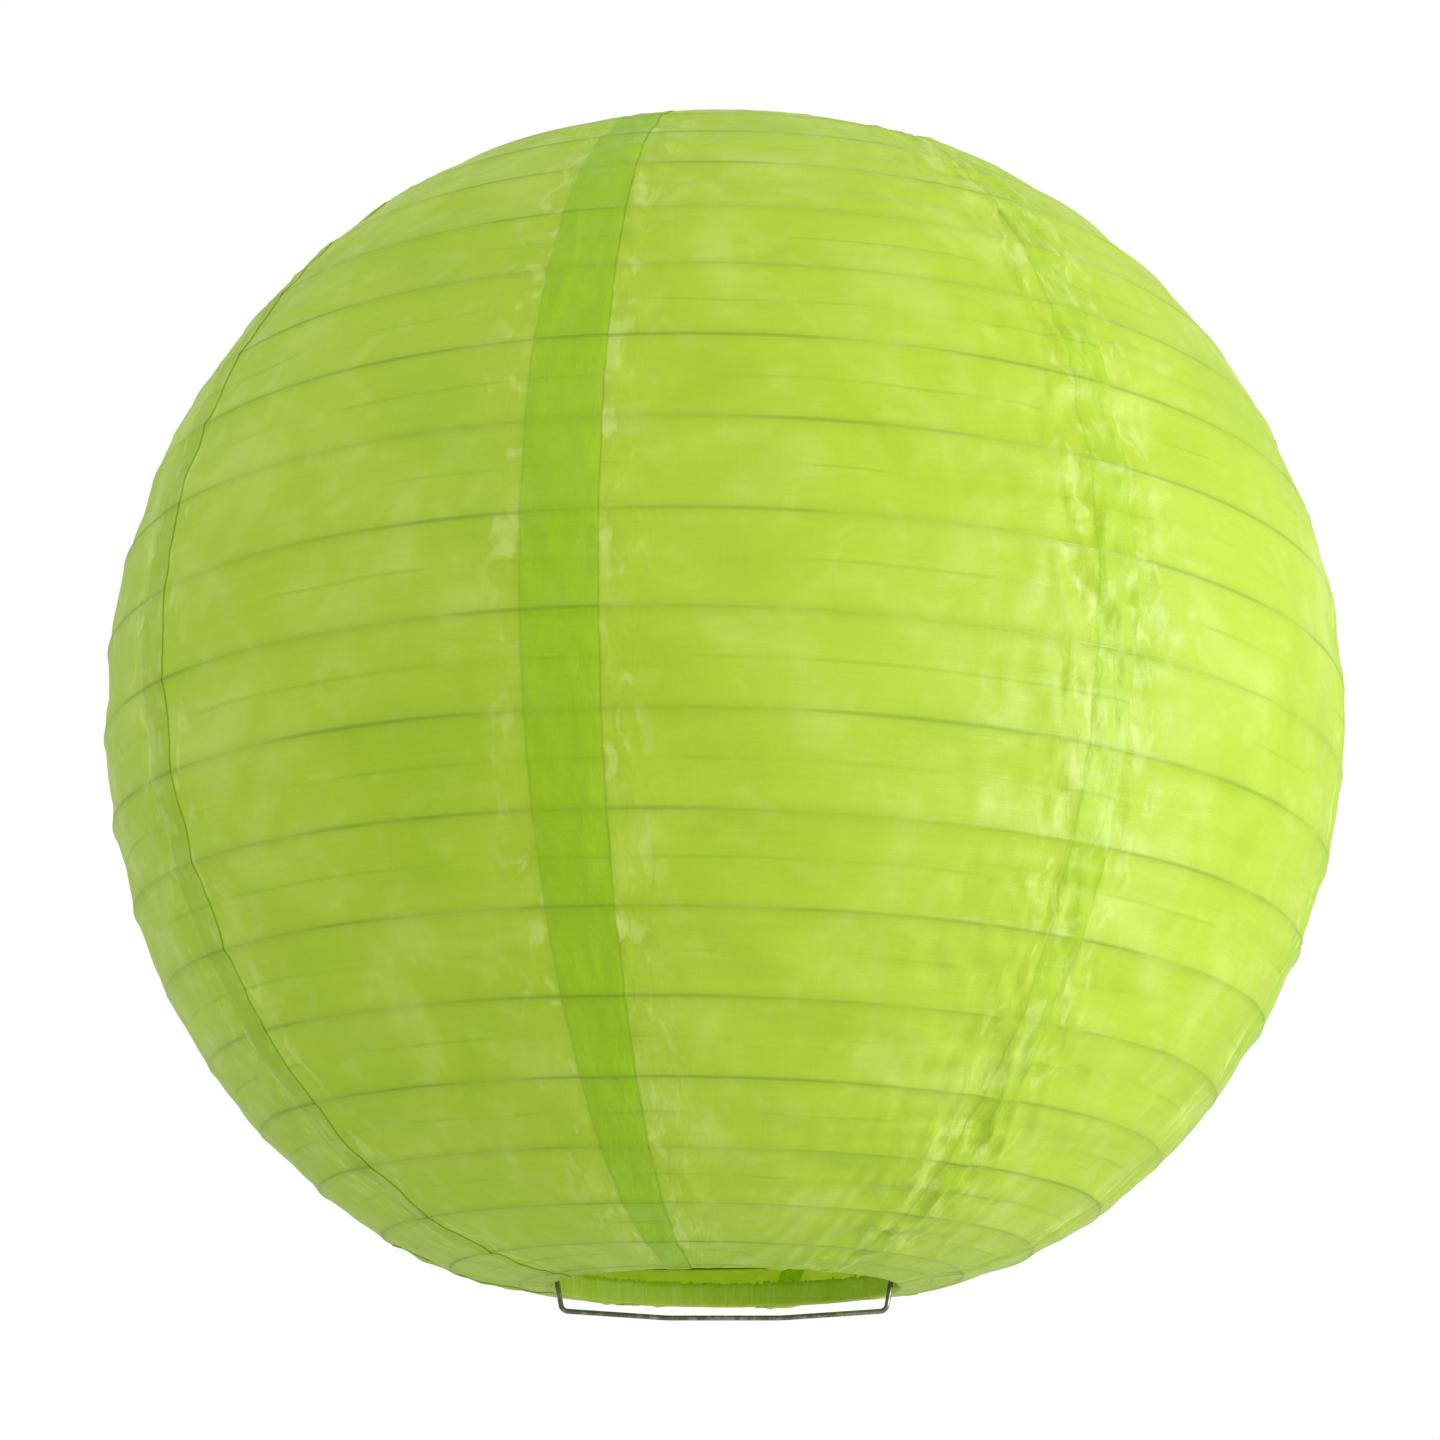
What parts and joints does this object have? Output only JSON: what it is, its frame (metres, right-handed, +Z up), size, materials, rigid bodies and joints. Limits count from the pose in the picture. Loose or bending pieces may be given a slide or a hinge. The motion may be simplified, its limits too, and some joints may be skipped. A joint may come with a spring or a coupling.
{
  "type": "round fabric lantern",
  "caption": "Round green nylon lantern: lapped fabric gores over one spiral wire rib between two end rings, spread by a bent wire expander under a hanging bail.",
  "frame": {"origin": "centre of the hook eye on top of the bail", "axes": "+Z up out of the hook eye, X along the expander's bottom bar and the bail's hinge line, -Y towards the front"},
  "size_m": [0.5078, 0.5079, 0.5195],
  "materials": {
    "nylon": "translucent satin weave",
    "rib_wire": "matt green coat",
    "ring_wire": "drawn wire",
    "expander_wire": "drawn wire"
  },
  "bodies": {
    "hanger": {"hanger_bail": "expander_wire"},
    "lantern": {"expander_frame": "expander_wire", "top_ring": "ring_wire", "top_rim_hem": "nylon", "spiral_rib": "rib_wire", "gore_panel_1": "nylon", "gore_panel_2": "nylon", "gore_panel_3": "nylon", "gore_panel_4": "nylon", "gore_panel_5": "nylon", "gore_panel_6": "nylon", "gore_panel_7": "nylon", "gore_panel_8": "nylon"},
    "bottom_rim": {"bottom_ring": "ring_wire", "bottom_rim_hem": "nylon"}
  },
  "joints": [
    {"name": "lantern_swing", "type": "hinge", "parent": "hanger", "child": "lantern", "pos_m": [0, 0, -0.0235], "axis": [1, 0, 0], "range_deg": [-80, 80]},
    {"name": "shell_collapse", "type": "slide", "parent": "lantern", "child": "bottom_rim", "axis": [0, 0, 1], "range_m": [0, 0.43], "deforming": ["gore_panel_1", "gore_panel_2", "gore_panel_3", "gore_panel_4", "gore_panel_5", "gore_panel_6", "gore_panel_7", "gore_panel_8", "spiral_rib"]}
  ]
}
